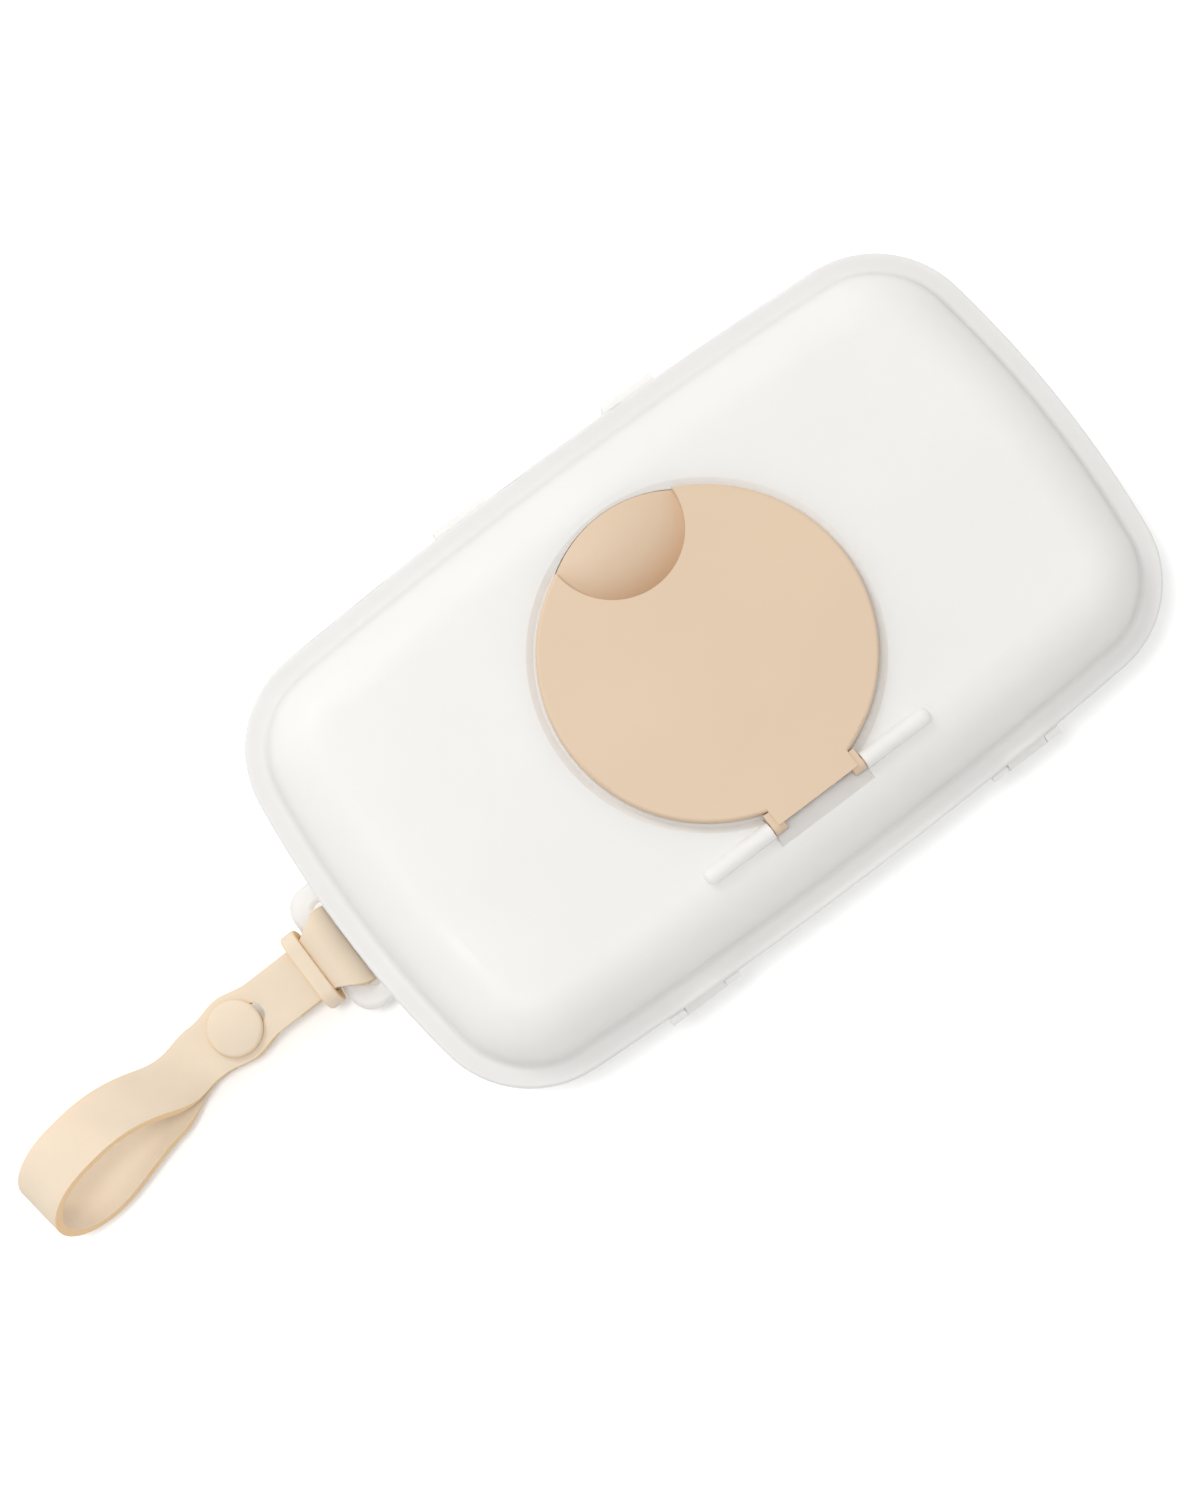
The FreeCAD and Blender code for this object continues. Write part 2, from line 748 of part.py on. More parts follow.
def make_strap_flat():
    """Band round the bar, its tail, the upper layer and the free end under it."""
    inner = wrap_inner
    outer = wrap_outer
    near = layer_inner
    off = layer_outer
    blend = wrap_blend_radius
    section = [
        (tail_end, -off, 0),
        (wrap_blend, -off, blend),
        (wrap_straight, -outer, outer),
        (-outer, -outer, outer),
        (-outer, outer, outer),
        (wrap_straight, outer, outer),
        (wrap_blend, off, blend),
        (loop_start, off, 0),
        (loop_start, near, 0),
        (wrap_blend, near, blend),
        (wrap_straight, inner, inner),
        (-inner, inner, inner),
        (-inner, -inner, inner),
        (wrap_straight, -inner, inner),
        (wrap_blend, -near, blend),
        (tail_end, -near, 0),
    ]
    wide = band_root_width

    def place_side(reach, rise):
        return Vector(reach, -wide, rise)

    def place_plan(reach, y):
        return Vector(reach, y, -2 * outer)

    ribbon = rounded_face(section, place_side).extrude(Vector(0, 2 * wide, 0))
    plan = rounded_face(strap_plan(), place_plan).extrude(Vector(0, 0, 4 * outer))
    tip_corner = (band_width - free_tip_flat) / 2
    tip = [
        (free_tip, -band_width / 2, tip_corner), (loop_start, -band_width / 2, 0),
        (loop_start, band_width / 2, 0), (free_tip, band_width / 2, tip_corner),
    ]

    def place_tip(reach, y):
        return Vector(reach, y, -off)

    flare = plan.common(box((button_reach - button_flare, -wide, -off), (loop_start, wide, -near)))
    free_end = rounded_face(tip, place_tip).extrude(Vector(0, 0, band_thickness)).fuse(flare)
    flat = ribbon.common(plan).fuse(free_end)
    hole = [box((hole_near, -hole_radius, -2 * outer), (button_reach, hole_radius, 2 * outer))]
    for reach in (hole_near, button_reach):
        hole.append(Part.makeCylinder(hole_radius, 4 * outer, Vector(reach, 0, -2 * outer)))
    return flat.cut(hole).removeSplitter()


def bezier(points, share):
    """Point of a cubic curve at share of its length parameter."""
    rest = 1 - share
    weights = (rest ** 3, 3 * rest ** 2 * share, 3 * rest * share ** 2, share ** 3)
    total = Vector(0, 0, 0)
    for weight, point in zip(weights, points):
        total = total + point * weight
    return total


def loop_path():
    """Side view of the hand loop from the upper layer round its end to the lower, without roll and turn."""
    along = Vector(math.cos(strap_droop), 0, -math.sin(strap_droop))
    ahead = Vector(1, 0, 0)
    layer = (layer_inner + layer_outer) / 2
    start = strap_point(loop_start, layer)
    finish = strap_point(loop_start, -layer)
    roll = math.radians(loop_roll)
    low_z = loop_floor_gap + band_width / 2 * math.sin(roll) + band_thickness / 2 * math.cos(roll)
    end_radius = loop_height / 2
    end_x = half_length + loop_end_reach - band_thickness / 2 - end_radius
    crest = Vector(end_x, 0, low_z + loop_height)
    floor = Vector(end_x, 0, low_z)
    climb = [start, start + along * loop_rise_start, crest - ahead * loop_rise_end, crest]
    fall = [floor, floor - ahead * loop_fall_start, finish + along * loop_fall_end, finish]
    path = [bezier(climb, step / loop_side_steps) for step in range(loop_side_steps)]
    for step in range(loop_end_steps):
        angle = math.pi * step / loop_end_steps
        reach = end_radius * math.sin(angle)
        rise = end_radius * (1 + math.cos(angle))
        path.append(Vector(end_x + reach, 0, low_z + rise))
    path += [bezier(fall, step / loop_side_steps) for step in range(loop_side_steps + 1)]
    return path, low_z


def eased(share):
    """Smooth step from 0 to 1."""
    share = min(1.0, max(0.0, share))
    return share * share * (3 - 2 * share)


def make_strap_loop():
    """Loop of the band as a loft of rectangles that roll about the loop's middle and turn aside."""
    path, low_z = loop_path()
    start_x = path[0].x
    rolled = []
    for point in path:
        reach = point.x - start_x
        roll = math.radians(loop_roll) * eased(reach / loop_roll_run)
        turn = math.radians(loop_turn) * eased(reach / loop_turn_run)
        rise = point.z - low_z
        aside = (loop_height / 2 - rise) * math.sin(roll)
        centre = Vector(
            start_x + reach * math.cos(turn) - aside * math.sin(turn),
            reach * math.sin(turn) + aside * math.cos(turn),
            low_z + rise * math.cos(roll),
        )
        across = Vector(-math.sin(turn) * math.cos(roll), math.cos(turn) * math.cos(roll), math.sin(roll))
        rolled.append((centre, across))
    out = Vector(math.cos(strap_droop), 0, -math.sin(strap_droop))
    sections = []
    for index, (centre, across) in enumerate(rolled):
        if index == 0:
            along = out
        elif index == len(rolled) - 1:
            along = out * -1
        else:
            along = rolled[index + 1][0] - rolled[index - 1][0]
        normal = along.cross(across).normalize() * (band_thickness / 2)
        side = across * (band_width / 2)
        corners = [centre + side + normal, centre - side + normal]
        corners += [centre - side - normal, centre + side - normal]
        sections.append(Part.makePolygon(corners + corners[:1]))
    return Part.makeLoft(sections, True, False)


def make_strap_band():
    return strap_place(make_strap_flat()).fuse(make_strap_loop()).removeSplitter()


def make_snap_button():
    """Low domed head on a post that passes through both layers into the backing."""
    seat = layer_outer
    head = Part.makeCylinder(button_radius, button_height, Vector(button_reach, 0, seat))
    crown_z = seat + button_height - button_crown_radius
    head = head.common(Part.makeSphere(button_crown_radius, Vector(button_reach, 0, crown_z)))
    edge_height = crown_z + math.sqrt(button_crown_radius ** 2 - button_radius ** 2) - seat
    rim = [edge for edge in head.Edges if edge.isClosed() and edge.BoundBox.ZMin > seat + tiny]
    head = head.makeFillet(min(button_edge_round, button_round_share * edge_height), rim)
    post_end = -seat - backing_thickness / 2
    post_length = seat + button_height / 2 - post_end
    post = Part.makeCylinder(post_radius, post_length, Vector(button_reach, 0, post_end))
    return strap_place(head.fuse(post).removeSplitter())


def make_snap_backing():
    """Disc under the free end with a blind socket for the post."""
    socket_z = -layer_outer - backing_thickness / 2
    base = Part.makeCylinder(backing_radius, backing_thickness, Vector(button_reach, 0, -backing_low))
    rim = [edge for edge in base.Edges if edge.isClosed() and edge.BoundBox.ZMax < socket_z]
    base = base.makeFillet(backing_round, rim)
    socket_radius = post_radius + post_clearance
    socket = Part.makeCylinder(socket_radius, backing_thickness, Vector(button_reach, 0, socket_z))
    return strap_place(base.cut(socket))


def make_strap_keeper():
    """Rounded ring round both layers of the band, close to the bar."""
    half_inner = band_width / 2 + keeper_side_gap
    half_outer = half_inner + keeper_wall
    high = keeper_half_gap + keeper_skin

    def place(y, z):
        return Vector(keeper_start, y, z)

    def ring(half_y, half_z, radius):
        corners = [
            (-half_y, -half_z, radius), (half_y, -half_z, radius),
            (half_y, half_z, radius), (-half_y, half_z, radius),
        ]
        return rounded_face(corners, place).extrude(Vector(keeper_length, 0, 0))

    body = ring(half_outer, high, high - keeper_edge_round)
    ends = [edge for edge in body.Edges if edge.BoundBox.XLength < tiny]
    body = body.makeFillet(keeper_edge_round, ends)
    return strap_place(body.cut(ring(half_inner, keeper_half_gap, keeper_inner_round)))


parts = {
    "base_shell": make_base_shell(),
    "strap_bracket": make_strap_bracket(),
    "rim_seal": make_rim_seal(),
    "lid_hinge_pin_left": make_hinge_pin(-1),
    "lid_hinge_pin_right": make_hinge_pin(1),
    "lid_shell": make_lid_shell(),
    "flip_cap": make_flip_cap(),
    "cap_seal": make_cap_seal(),
    "strap_band": make_strap_band(),
    "snap_button": make_snap_button(),
    "snap_backing": make_snap_backing(),
    "strap_keeper": make_strap_keeper(),
}

os.makedirs("parts", exist_ok=True)
for node, shape in parts.items():
    shape.exportStep("parts/" + node + ".step")
    span = shape.BoundBox
    print(
        f"{node}: solids {len(shape.Solids)} valid {shape.isValid()} volume {shape.Volume:.0f} "
        f"x {span.XMin:.1f}..{span.XMax:.1f} y {span.YMin:.1f}..{span.YMax:.1f} "
        f"z {span.ZMin:.2f}..{span.ZMax:.2f}"
    )
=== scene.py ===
import json
import math
from typing import NamedTuple

import bpy
from bpy.props import FloatProperty, FloatVectorProperty, IntProperty, PointerProperty
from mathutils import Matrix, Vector


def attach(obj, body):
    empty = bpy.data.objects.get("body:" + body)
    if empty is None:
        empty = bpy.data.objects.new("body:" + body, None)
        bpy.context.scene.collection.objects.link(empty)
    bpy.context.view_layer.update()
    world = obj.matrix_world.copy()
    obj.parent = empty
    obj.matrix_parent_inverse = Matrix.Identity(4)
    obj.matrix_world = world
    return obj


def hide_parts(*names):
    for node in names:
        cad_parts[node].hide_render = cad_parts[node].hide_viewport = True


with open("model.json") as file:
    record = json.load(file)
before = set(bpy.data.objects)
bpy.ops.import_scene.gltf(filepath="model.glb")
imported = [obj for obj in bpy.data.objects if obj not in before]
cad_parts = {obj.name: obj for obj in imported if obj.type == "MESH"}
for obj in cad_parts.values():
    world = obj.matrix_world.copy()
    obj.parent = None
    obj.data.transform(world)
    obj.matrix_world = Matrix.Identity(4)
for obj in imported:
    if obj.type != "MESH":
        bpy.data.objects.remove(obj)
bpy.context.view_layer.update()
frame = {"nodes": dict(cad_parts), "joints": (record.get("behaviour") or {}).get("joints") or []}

bl_info = {
    "name": "Travel Wipe Case",
    "version": (1, 0, 0),
    "blender": (4, 5, 0),
    "location": "View3D > Sidebar > Wipe Case",
    "description": "Finishes, strap and soft parts of a travel wipe case",
    "category": "Object",
}

# Directions in the case's frame
LENGTHWAYS = (1, 0, 0)
SIDEWAYS = (0, 1, 0)
UPWARDS = (0, 0, 1)

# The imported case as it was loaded, and the places that its joints give
JOINTS = {joint["name"]: joint for joint in frame["joints"]}
BAR = Vector(JOINTS["strap_swing"]["pos_m"])
STRAP_ALONG = Vector(JOINTS["keeper_slide"]["axis"]).normalized()
STRAP_UP = STRAP_ALONG.cross(Vector(SIDEWAYS))
STRAP_TURN = math.atan2(-STRAP_ALONG.z, STRAP_ALONG.x)

# Smallest turn or stretch worth making, and distance within which points are one
TINY = 1e-7
MERGE = 1e-6

# Share of a face's normal along a direction for it to look that way
FACING = 0.9

# Sides of a round piece, and length of one step along the band in metres
SIDES = 96
BAND_STEP = 0.0011


def length(label, text, default):
    """A size in metres that a user can change."""
    return FloatProperty(name=label, description=text, default=default, unit="LENGTH", precision=5)


def angle(label, text, degrees):
    """An angle that a user can change."""
    return FloatProperty(name=label, description=text, default=math.radians(degrees), subtype="ANGLE")


def colour(label, text, default):
    """A linear colour that a user can change."""
    return FloatVectorProperty(
        name=label, description=text, default=default, subtype="COLOR", size=3, min=0.0, max=1.0
    )


def spot(label, text, default):
    """A place in metres that a user can change."""
    return FloatVectorProperty(name=label, description=text, default=default, size=3, subtype="TRANSLATION")


def power(label, text, watts):
    """A lamp's power that a user can change."""
    return FloatProperty(name=label, description=text, default=watts, unit="POWER")


def amount(label, text, default):
    """A plain number that a user can change."""
    return FloatProperty(name=label, description=text, default=default)


class StrapSizes(bpy.types.PropertyGroup):
    """Sizes of the silicone strap, its keeper and its button"""

    thickness: length("Thickness", "Thickness of one layer of the band", 0.002)
    width: length("Width", "Width of the band at the keeper and in the loop", 0.0135)
    root_width: length("Root width", "Width of the band where it wraps the bar", 0.0206)
    button_width: length("Button width", "Width of the band under the button", 0.0162)
    layer_gap: length("Layer gap", "Gap between the two layers", 0.0001)
    wrap_radius: length("Wrap radius", "Radius of the band's middle round the bar", 0.00380)
    wrap_run: length("Wrap run", "Distance in which the wrap closes to two layers", 0.0075)
    taper_end: length("Taper end", "Distance from the bar where the band is narrow", 0.00295)
    tail_end: length("Tail end", "Distance from the bar to the end of the tail", 0.0145)
    free_tip: length("Free tip", "Distance from the bar to the tip of the returning end", 0.0165)
    button_reach: length("Button reach", "Distance from the bar to the button", 0.0276)
    button_flare: length("Button flare", "Half length of the flare under the button", 0.008)
    loop_start: length("Loop start", "Distance from the bar to the start of the loop", 0.0371)
    loop_reach: length("Loop reach", "Distance from the bar to the end of the loop before it turns", 0.0870)
    loop_height: length("Loop height", "Height of the loop between the middles of its layers", 0.026)
    loop_gap: length("Loop gap", "Room between the loop and the ground", 0.0004)
    loop_roll: angle("Loop roll", "Lean of the loop to the front", 20.0)
    loop_roll_run: length("Roll run", "Distance in which the loop takes on its lean", 0.015)
    loop_turn: angle("Loop turn", "Turn of the loop to the hinge side", 9.7)
    loop_turn_run: length("Turn run", "Distance in which the loop takes on its turn", 0.036)
    rise_start: length("Rise start", "Handle of the upper side at the band", 0.011)
    rise_end: length("Rise end", "Handle of the upper side at the crest", 0.017)
    fall_start: length("Fall start", "Handle of the lower side at the loop's end", 0.022)
    fall_end: length("Fall end", "Handle of the lower side at the band", 0.005)
    edge_round: length("Edge round", "Rounding of the band's edges", 0.00085)
    button_radius: length("Button radius", "Radius of the button's head", 0.0066)
    button_height: length("Button height", "Height of the button's head", 0.0026)
    button_crown: length("Button crown", "Radius of the button's domed top", 0.022)
    button_round: length("Button round", "Rounding of the button's rim", 0.0009)
    post_radius: length("Post radius", "Radius of the button's post", 0.0024)
    hole_radius: length("Hole radius", "Radius of the slotted hole for the post", 0.00275)
    hole_showing: length("Hole showing", "Part of the hole that shows beside the button", 0.0012)
    backing_radius: length("Backing radius", "Radius of the disc behind the button", 0.0056)
    backing_height: length("Backing height", "Height of the disc behind the button", 0.0015)
    keeper_centre: length("Keeper centre", "Distance from the bar to the keeper", 0.0056)
    keeper_length: length("Keeper length", "Length of the keeper along the band", 0.0038)
    keeper_room: length("Keeper room", "Half width of the keeper's hole", 0.00715)
    keeper_rise: length("Keeper rise", "Half height of the keeper's hole", 0.00385)
    keeper_wall: length("Keeper wall", "Thickness of the keeper at its sides", 0.0028)
    keeper_skin: length("Keeper skin", "Thickness of the keeper above and below", 0.0012)
    keeper_round: length("Keeper round", "Rounding of the keeper's edges", 0.0014)


class SealSizes(bpy.types.PropertyGroup):
    """Sizes of the soft seals"""

    rim_lip: length("Rim lip", "Width of each lip of the rim's seal", 0.0005)
    cap_lip: length("Cap lip", "Width of each lip of the cap's seal", 0.0007)
    groove: length("Groove", "Depth of the groove between the lips", 0.0003)
    edge_round: length("Edge round", "Rounding of the lips", 0.0002)


class CaseColours(bpy.types.PropertyGroup):
    """Colours of the case and its strap"""

    frosted: colour("Frosted", "Frosted white of the lid and base", (0.982, 0.974, 0.955))
    clear: colour("Clear", "Tint of the strap bracket", (0.940, 0.940, 0.935))
    cap: colour("Cap", "Beige of the flip cap", (0.707, 0.541, 0.387))
    silicone: colour("Silicone", "Light beige of the strap", (0.885, 0.765, 0.612))
    glow: colour("Silicone glow", "Light that comes through the strap", (0.990, 0.840, 0.640))
    # Painted shade: a deeper, warmer colour painted on the strap's sides in place of their shade
    edge: colour("Silicone edge", "Deeper tone along the strap's edges", (0.950, 0.660, 0.380))
    seal: colour("Seal", "White of the soft seals", (0.780, 0.780, 0.760))
    steel: colour("Steel", "Grey of the hinge pins", (0.560, 0.560, 0.550))


class StageSettings(bpy.types.PropertyGroup):
    """Camera, light and floor"""

    azimuth: angle("Azimuth", "Side from which the camera looks", 142.84)
    elevation: angle("Elevation", "Height of the camera above the horizon", 81.5)
    distance: length("Distance", "Distance from the camera to the point it looks at", 0.80)
    lens: amount("Lens", "Focal length in millimetres", 85.46)
    target: spot("Target", "Point that the camera looks at", (0.0308, 0.0013, 0.027))
    top_power: power("Top power", "Power of the soft light overhead", 6.0)
    top_size: length("Top size", "Width of the soft light overhead", 0.32)
    top_place: spot("Top place", "Place of the soft light overhead", (0.34, -0.06, 1.56))
    front_power: power("Front power", "Power of the soft light from the front", 6.8)
    front_size: length("Front size", "Width of the soft light from the front", 0.6)
    front_place: spot("Front place", "Place of the soft light from the front", (0.30, -1.10, 1.10))
    fill: amount("Fill", "Strength of the light from all round", 0.64)
    floor_shade: amount("Floor shade", "Paleness of the floor as it lights the case", 0.90)
    floor_white: amount("Floor white", "Paleness of the floor as it is seen", 1.32)
    floor_size: length("Floor size", "Width of the floor", 8.0)


# Materials


def new_material(name):
    """An empty material with a Principled shader."""
    material = bpy.data.materials.new(name)
    material.use_nodes = True
    tree = material.node_tree
    shader = tree.nodes["Principled BSDF"]
    place = tree.nodes.new("ShaderNodeTexCoord")
    return material, tree, shader, place


def noise(tree, place, scale, detail=2.0, roughness=0.5):
    """Noise on the piece's own coordinates."""
    texture = tree.nodes.new("ShaderNodeTexNoise")
    texture.inputs["Scale"].default_value = scale
    texture.inputs["Detail"].default_value = detail
    texture.inputs["Roughness"].default_value = roughness
    tree.links.new(place.outputs["Object"], texture.inputs["Vector"])
    return texture.outputs["Fac"]


def between(tree, value, low, high, start=0.3, end=0.7):
    """The value, spread from low to high."""
    spread = tree.nodes.new("ShaderNodeMapRange")
    spread.inputs["From Min"].default_value = start
    spread.inputs["From Max"].default_value = end
    spread.inputs["To Min"].default_value = low
    spread.inputs["To Max"].default_value = high
    tree.links.new(value, spread.inputs["Value"])
    return spread.outputs["Result"]


def shaded(tree, value, base, dark, light):
    """A colour that varies from dark to light times the base colour."""
    ramp = tree.nodes.new("ShaderNodeValToRGB")
    ramp.color_ramp.elements[0].position = 0.3
    ramp.color_ramp.elements[1].position = 0.7
    ramp.color_ramp.elements[0].color = [min(1.0, part * dark) for part in base] + [1.0]
    ramp.color_ramp.elements[1].color = [min(1.0, part * light) for part in base] + [1.0]
    tree.links.new(value, ramp.inputs["Fac"])
    return ramp.outputs["Color"]


def painted_side_shade(tree, place, tone, tint, across, start, end):
    """Painted shade: the tone turns to the tint as the normal's share along a direction goes from start to
    end.
    """
    tilt = tree.nodes.new("ShaderNodeVectorMath")
    tilt.operation = "DOT_PRODUCT"
    tilt.inputs[1].default_value = across
    tree.links.new(place.outputs["Normal"], tilt.inputs[0])
    either_side = tree.nodes.new("ShaderNodeMath")
    either_side.operation = "ABSOLUTE"
    tree.links.new(tilt.outputs["Value"], either_side.inputs[0])
    blend = tree.nodes.new("ShaderNodeMixRGB")
    tree.links.new(between(tree, either_side.outputs[0], 0.0, 1.0, start, end), blend.inputs["Fac"])
    tree.links.new(tone, blend.inputs["Color1"])
    blend.inputs["Color2"].default_value = list(tint) + [1.0]
    return blend.outputs["Color"]


def bump(tree, shader, height, strength, distance):
    """Fine relief on the shader."""
    relief = tree.nodes.new("ShaderNodeBump")
    relief.inputs["Strength"].default_value = strength
    relief.inputs["Distance"].default_value = distance
    tree.links.new(height, relief.inputs["Height"])
    tree.links.new(relief.outputs["Normal"], shader.inputs["Normal"])


def pass_light(tree, shader, tint, share):
    """Lets a share of the light through the wall, in the tint."""
    through = tree.nodes.new("ShaderNodeBsdfTranslucent")
    through.inputs["Color"].default_value = list(tint) + [1.0]
    wall = tree.nodes.new("ShaderNodeMixShader")
    wall.inputs["Fac"].default_value = share
    tree.links.new(shader.outputs["BSDF"], wall.inputs[1])
    tree.links.new(through.outputs["BSDF"], wall.inputs[2])
    tree.links.new(wall.outputs["Shader"], tree.nodes["Material Output"].inputs["Surface"])


def frosted_plastic(name, base, glow, clear):
    """Milky moulded plastic: soft clouds, a fine mould grain, and a wall that passes a share of the light."""
    material, tree, shader, place = new_material(name)
    clouds = noise(tree, place, 22.0, 3.0)
    tree.links.new(shaded(tree, clouds, base, 0.985, 1.012), shader.inputs["Base Color"])
    tree.links.new(between(tree, noise(tree, place, 60.0), 0.40, 0.52), shader.inputs["Roughness"])
    shader.inputs["Transmission Weight"].default_value = clear
    shader.inputs["IOR"].default_value = 1.49
    bump(tree, shader, noise(tree, place, 1400.0, 2.0), 0.06, 0.0002)
    pass_light(tree, shader, (1.0, 0.99, 0.97), glow)
    return material


def satin_plastic(name, base):
    """Opaque moulded plastic with a fine satin grain."""
    material, tree, shader, place = new_material(name)
    clouds = noise(tree, place, 30.0, 3.0)
    tree.links.new(shaded(tree, clouds, base, 0.985, 1.015), shader.inputs["Base Color"])
    tree.links.new(between(tree, noise(tree, place, 400.0), 0.42, 0.50), shader.inputs["Roughness"])
    shader.inputs["Specular IOR Level"].default_value = 0.4
    bump(tree, shader, noise(tree, place, 2200.0, 3.0), 0.08, 0.0002)
    return material


def silicone_rubber(name, base, tint, edge, across, start, end):
    """Soft matte silicone that passes light in the tint, with painted shade in the edge colour on some of its
    sides.
    """
    material, tree, shader, place = new_material(name)
    clouds = noise(tree, place, 90.0, 4.0)
    tone = shaded(tree, clouds, base, 0.975, 1.02)
    # Painted shade: the sides picked by the normal turn to the edge colour
    tree.links.new(painted_side_shade(tree, place, tone, edge, across, start, end), shader.inputs["Base Color"])
    tree.links.new(between(tree, noise(tree, place, 500.0, 3.0), 0.52, 0.64), shader.inputs["Roughness"])
    shader.inputs["Specular IOR Level"].default_value = 0.04
    shader.inputs["Subsurface Weight"].default_value = 0.3
    shader.inputs["Subsurface Radius"].default_value = (1.0, 0.7, 0.45)
    shader.inputs["Subsurface Scale"].default_value = 0.0012
    bump(tree, shader, noise(tree, place, 3000.0, 2.0), 0.06, 0.0002)
    pass_light(tree, shader, tint, 0.12)
    return material


def strap_rubber(context, name, across, start=0.35, end=1.0):
    """The strap's beige silicone, with painted shade that turns it deeper and warmer as the normal's share
    across goes from start to end.
    """
    colours = context.scene.wipe_case_colours
    return silicone_rubber(name, colours.silicone, colours.glow, colours.edge, across, start, end)


def drawn_steel(name, base):
    """Bright wire with fine lines along its length."""
    material, tree, shader, place = new_material(name)
    stretch = tree.nodes.new("ShaderNodeMapping")
    stretch.inputs["Scale"].default_value = (40.0, 4000.0, 4000.0)
    tree.links.new(place.outputs["Object"], stretch.inputs["Vector"])
    lines = tree.nodes.new("ShaderNodeTexNoise")
    lines.inputs["Scale"].default_value = 1.0
    tree.links.new(stretch.outputs["Vector"], lines.inputs["Vector"])
    tree.links.new(shaded(tree, lines.outputs["Fac"], base, 0.9, 1.05), shader.inputs["Base Color"])
    tree.links.new(between(tree, lines.outputs["Fac"], 0.25, 0.4), shader.inputs["Roughness"])
    shader.inputs["Metallic"].default_value = 1.0
    return material


# Modelling helpers


def deselect():
    bpy.ops.object.select_all(action="DESELECT")


def active_piece(name):
    """The object that was added last, under its own name."""
    piece = bpy.context.active_object
    piece.name = name
    piece.data.name = name
    return piece


def pick(piece, mode, test):
    """In edit mode, selects only the vertices, edges or faces that pass the test."""
    bpy.ops.mesh.select_all(action="DESELECT")
    bpy.ops.mesh.select_mode(type=mode)
    bpy.ops.object.mode_set(mode="OBJECT")
    parts = {"VERT": piece.data.vertices, "EDGE": piece.data.edges, "FACE": piece.data.polygons}[mode]
    for part in parts:
        part.select = test(part)
    bpy.ops.object.mode_set(mode="EDIT")


def apply_modifier(piece, kind, **settings):
    """Adds a modifier to the piece and applies it at once."""
    bpy.context.view_layer.objects.active = piece
    modifier = piece.modifiers.new(kind.title(), kind)
    for key, value in settings.items():
        setattr(modifier, key, value)
    bpy.ops.object.modifier_apply(modifier=modifier.name)


def round_edges(piece, width, segments, sharper_than=50.0):
    """Rounds the edges that turn by more than an angle in degrees."""
    apply_modifier(
        piece, "BEVEL", width=width, segments=segments, limit_method="ANGLE",
        angle_limit=math.radians(sharper_than),
    )


def smooth(piece, angle=40.0):
    """Smooth shading that keeps true corners."""
    deselect()
    piece.select_set(True)
    bpy.context.view_layer.objects.active = piece
    bpy.ops.object.shade_smooth_by_angle(angle=math.radians(angle))


def settle(piece, turn, place):
    """Turns the piece from the strap's own frame into the case and leaves its place in its mesh."""
    deselect()
    piece.select_set(True)
    bpy.context.view_layer.objects.active = piece
    piece.rotation_euler = (0, turn, 0)
    piece.location = place
    bpy.ops.object.transform_apply(location=True, rotation=True, scale=True)


def dress(piece, material, body, slot, *nodes):
    """Gives the piece its finish and its body, and hides the solids that it stands for."""
    piece.data.materials.clear()
    piece.data.materials.append(material)
    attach(piece, body)
    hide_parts(*nodes)


def finish_node(node, material):
    """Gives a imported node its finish."""
    mesh = frame["nodes"][node].data
    mesh.materials.clear()
    mesh.materials.append(material)


def node_copy(node, name):
    """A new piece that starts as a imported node's shape, merged to whole faces."""
    deselect()
    piece = bpy.data.objects.new(name, frame["nodes"][node].data.copy())
    piece.data.name = name
    bpy.context.scene.collection.objects.link(piece)
    piece.select_set(True)
    bpy.context.view_layer.objects.active = piece
    bpy.ops.mesh.customdata_custom_splitnormals_clear()
    bpy.ops.object.mode_set(mode="EDIT")
    bpy.ops.mesh.select_all(action="SELECT")
    bpy.ops.mesh.remove_doubles(threshold=MERGE)
    bpy.ops.mesh.tris_convert_to_quads()
    bpy.ops.object.mode_set(mode="OBJECT")
    return piece


def ease(share):
    """Smooth step from 0 to 1."""
    share = min(1.0, max(0.0, share))
    return share * share * (3 - 2 * share)


# The strap's route


class Station(NamedTuple):
    """Middle of the band at one step of its route, with its width, its lean and its turn."""

    centre: Vector
    width: float
    lean: float = 0.0
    turn: float = 0.0


def strap_point(reach, rise):
    """A point of the strap's side view, in the case."""
    return BAR + STRAP_ALONG * reach + STRAP_UP * rise


def band_width_at(sizes, reach):
    """Width of the straight part of the band at a distance from the bar."""
    root_start = -sizes.wrap_radius * 2 / 3
    taper = min(1.0, max(0.0, (reach - root_start) / (sizes.taper_end - root_start)))
    width = sizes.root_width + (sizes.width - sizes.root_width) * taper
    off = abs(reach - sizes.button_reach)
    flare = 1 - ease(off / sizes.button_flare)
    return width + (sizes.button_width - sizes.width) * flare


def tip_width(sizes, width, past_tip):
    """Width of the returning end close to its rounded tip."""
    corner = width / 2 - sizes.thickness / 2
    if past_tip >= corner:
        return width
    return 2 * (width / 2 - corner + math.sqrt(max(0.0, corner ** 2 - (corner - past_tip) ** 2)))


def cubic(points, share):
    """Point of a cubic curve."""
    rest = 1 - share
    return (
        points[0] * rest ** 3
        + points[1] * (3 * rest ** 2 * share)
        + points[2] * (3 * rest * share ** 2)
        + points[3] * share ** 3
    )


